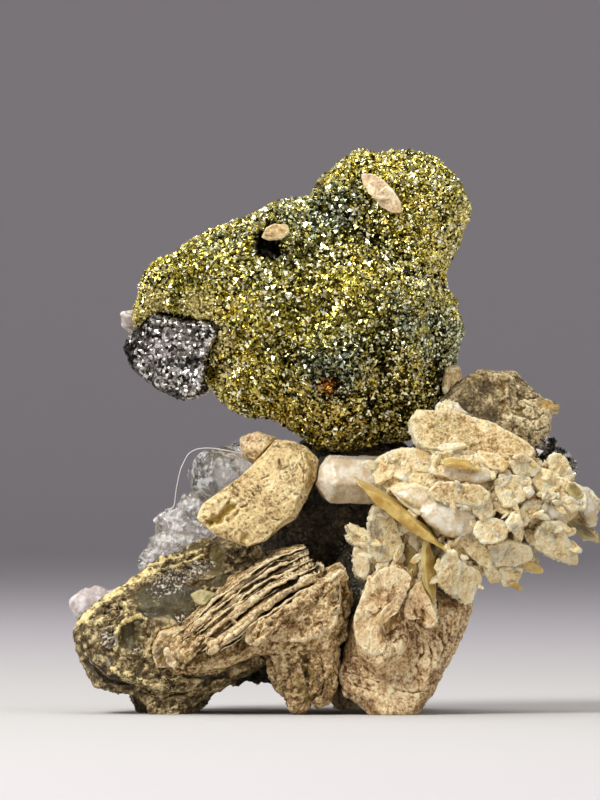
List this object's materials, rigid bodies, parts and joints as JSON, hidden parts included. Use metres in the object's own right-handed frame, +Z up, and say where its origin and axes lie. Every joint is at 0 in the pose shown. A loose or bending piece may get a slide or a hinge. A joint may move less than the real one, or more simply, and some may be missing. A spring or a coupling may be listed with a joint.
{
  "type": "calcite and chalcopyrite specimen",
  "caption": "Natural mineral specimen: bladed tan calcite and quartz on dark rock, topped by a rounded lump of sparkling brassy chalcopyrite crystals, standing on its broken base.",
  "frame": {"origin": "on the surface that the specimen stands on, under the middle of its bounding box", "axes": "+Z up, the side with the bladed calcite and the bare dark mineral faces -Y, +X to its right"},
  "size_m": [0.0626, 0.0348, 0.066],
  "materials": {
    "calcite": "matte",
    "calcite_dark": "satin",
    "calcite_amber": "satin",
    "quartz": "satin",
    "chalcopyrite": "gloss",
    "sphalerite": "gloss",
    "matrix": "matte"
  },
  "bodies": {
    "root": {"sphalerite_patch": "sphalerite", "quartz_left_tip": "quartz", "calcite_upper_flake": "calcite", "calcite_pit_flake": "calcite", "chalcopyrite_lump": "chalcopyrite", "calcite_amber_blade": "calcite_amber", "calcite_amber_sliver": "calcite_amber", "calcite_rosette": "calcite", "sphalerite_grains": "sphalerite", "calcite_leaning_slab": "calcite", "calcite_slab_lump": "calcite", "quartz_centre": "quartz", "quartz_upper_left": "quartz", "calcite_back_plate": "calcite", "calcite_edge_blade": "calcite", "calcite_foot_plate": "calcite", "calcite_leaf_stack": "calcite", "calcite_yellow_flake": "calcite_amber", "calcite_base_plate": "calcite_dark", "quartz_far_left": "quartz", "quartz_left_crust": "quartz", "calcite_back_blades": "calcite", "quartz_back": "quartz", "matrix": "matrix"}
  },
  "joints": []
}
